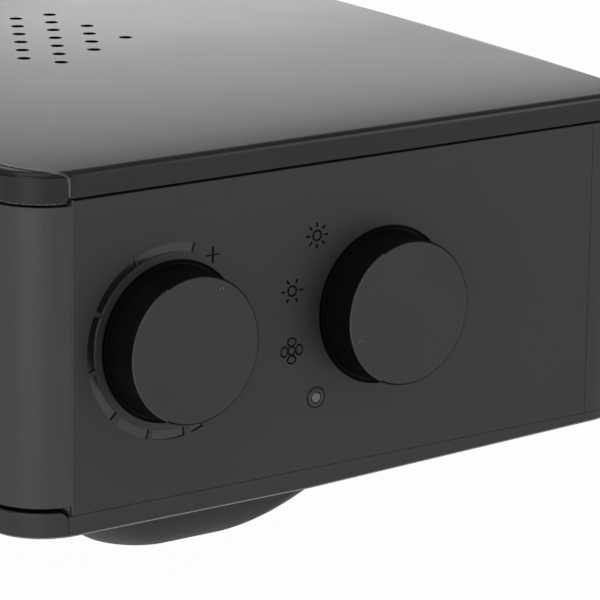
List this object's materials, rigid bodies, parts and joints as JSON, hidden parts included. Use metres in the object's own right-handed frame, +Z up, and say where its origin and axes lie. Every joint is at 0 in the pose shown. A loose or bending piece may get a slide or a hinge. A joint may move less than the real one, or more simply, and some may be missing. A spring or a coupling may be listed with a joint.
{
  "type": "fan heater",
  "caption": "Low, wide fan heater on an oval pedestal, with a bowed louvred outlet, turning knobs on its end panel, and a cross-flow fan and heating element inside.",
  "frame": {"origin": "middle of the foot's underside, on the surface the heater stands on", "axes": "+Z up; -Y towards the outlet grille, the front; +X along the body towards the knob panel"},
  "size_m": [0.3312, 0.2216, 0.1344],
  "materials": {
    "cover": "dark grey, fine-grained, slightly satin",
    "panel": "dark grey, fine-grained",
    "foot": "dark grey, smooth satin",
    "knob": "black sides, dark grey matt face",
    "sole": "black",
    "steel": "zinc-plated",
    "phenolic": "brown moulding",
    "lens": "frosted, unlit",
    "lamp": "clear sleeve",
    "duct": "black, heat-resistant",
    "impeller": "bare sheet",
    "bearing": "sintered bronze",
    "lamination": "stamped sheets",
    "winding": "coil under yellow insulating tape",
    "heat_resistant": "cream",
    "fins": "bare",
    "natural_plastic": "uncoloured",
    "gland": "black"
  },
  "bodies": {
    "heater_body": {"top_cover": "cover", "bottom_cover": "cover", "control_panel": "panel", "left_end_panel": "panel", "rear_panel": "panel", "front_frame": "cover", "front_grille": "panel", "pedestal_foot": "foot", "foot_sole": "sole", "thermostat_nut": "steel", "switch_nut": "steel", "thermostat": "phenolic", "rotary_switch": "phenolic", "indicator_lens": "lens", "indicator_lamp": "lamp", "fan_housing": "duct", "duct_cover": "duct", "end_bush": "bearing", "motor_stack": "lamination", "motor_coil": "winding", "motor_bracket_front": "steel", "motor_bracket_rear": "steel", "motor_bushes": "bearing", "heater_frame": "heat_resistant", "heater_core": "fins", "thermal_cutout": "steel", "terminal_block": "natural_plastic", "tilt_switch": "natural_plastic", "cord_gland": "gland", "gland_nut": "gland", "case_screws": "steel", "foot_screws": "steel", "housing_screws": "steel", "motor_screws": "steel"},
    "thermostat_dial": {"thermostat_knob": "knob", "thermostat_spindle": "steel"},
    "mode_dial": {"mode_knob": "knob", "switch_spindle": "steel"},
    "fan_rotor": {"impeller": "impeller", "motor_shaft": "steel", "impeller_pin": "steel", "motor_rotor": "lamination"}
  },
  "joints": [
    {"name": "thermostat_turn", "type": "hinge", "parent": "heater_body", "child": "thermostat_dial", "pos_m": [0.16, -0.0574, 0.0852], "axis": [1, 0, 0], "range_deg": [0, 240]},
    {"name": "mode_turn", "type": "hinge", "parent": "heater_body", "child": "mode_dial", "pos_m": [0.16, 0.0121, 0.0852], "axis": [1, 0, 0], "range_deg": [-60, 30]},
    {"name": "fan_spin", "type": "hinge", "parent": "heater_body", "child": "fan_rotor", "pos_m": [0, 0.024, 0.09], "axis": [1, 0, 0], "continuous": true}
  ]
}
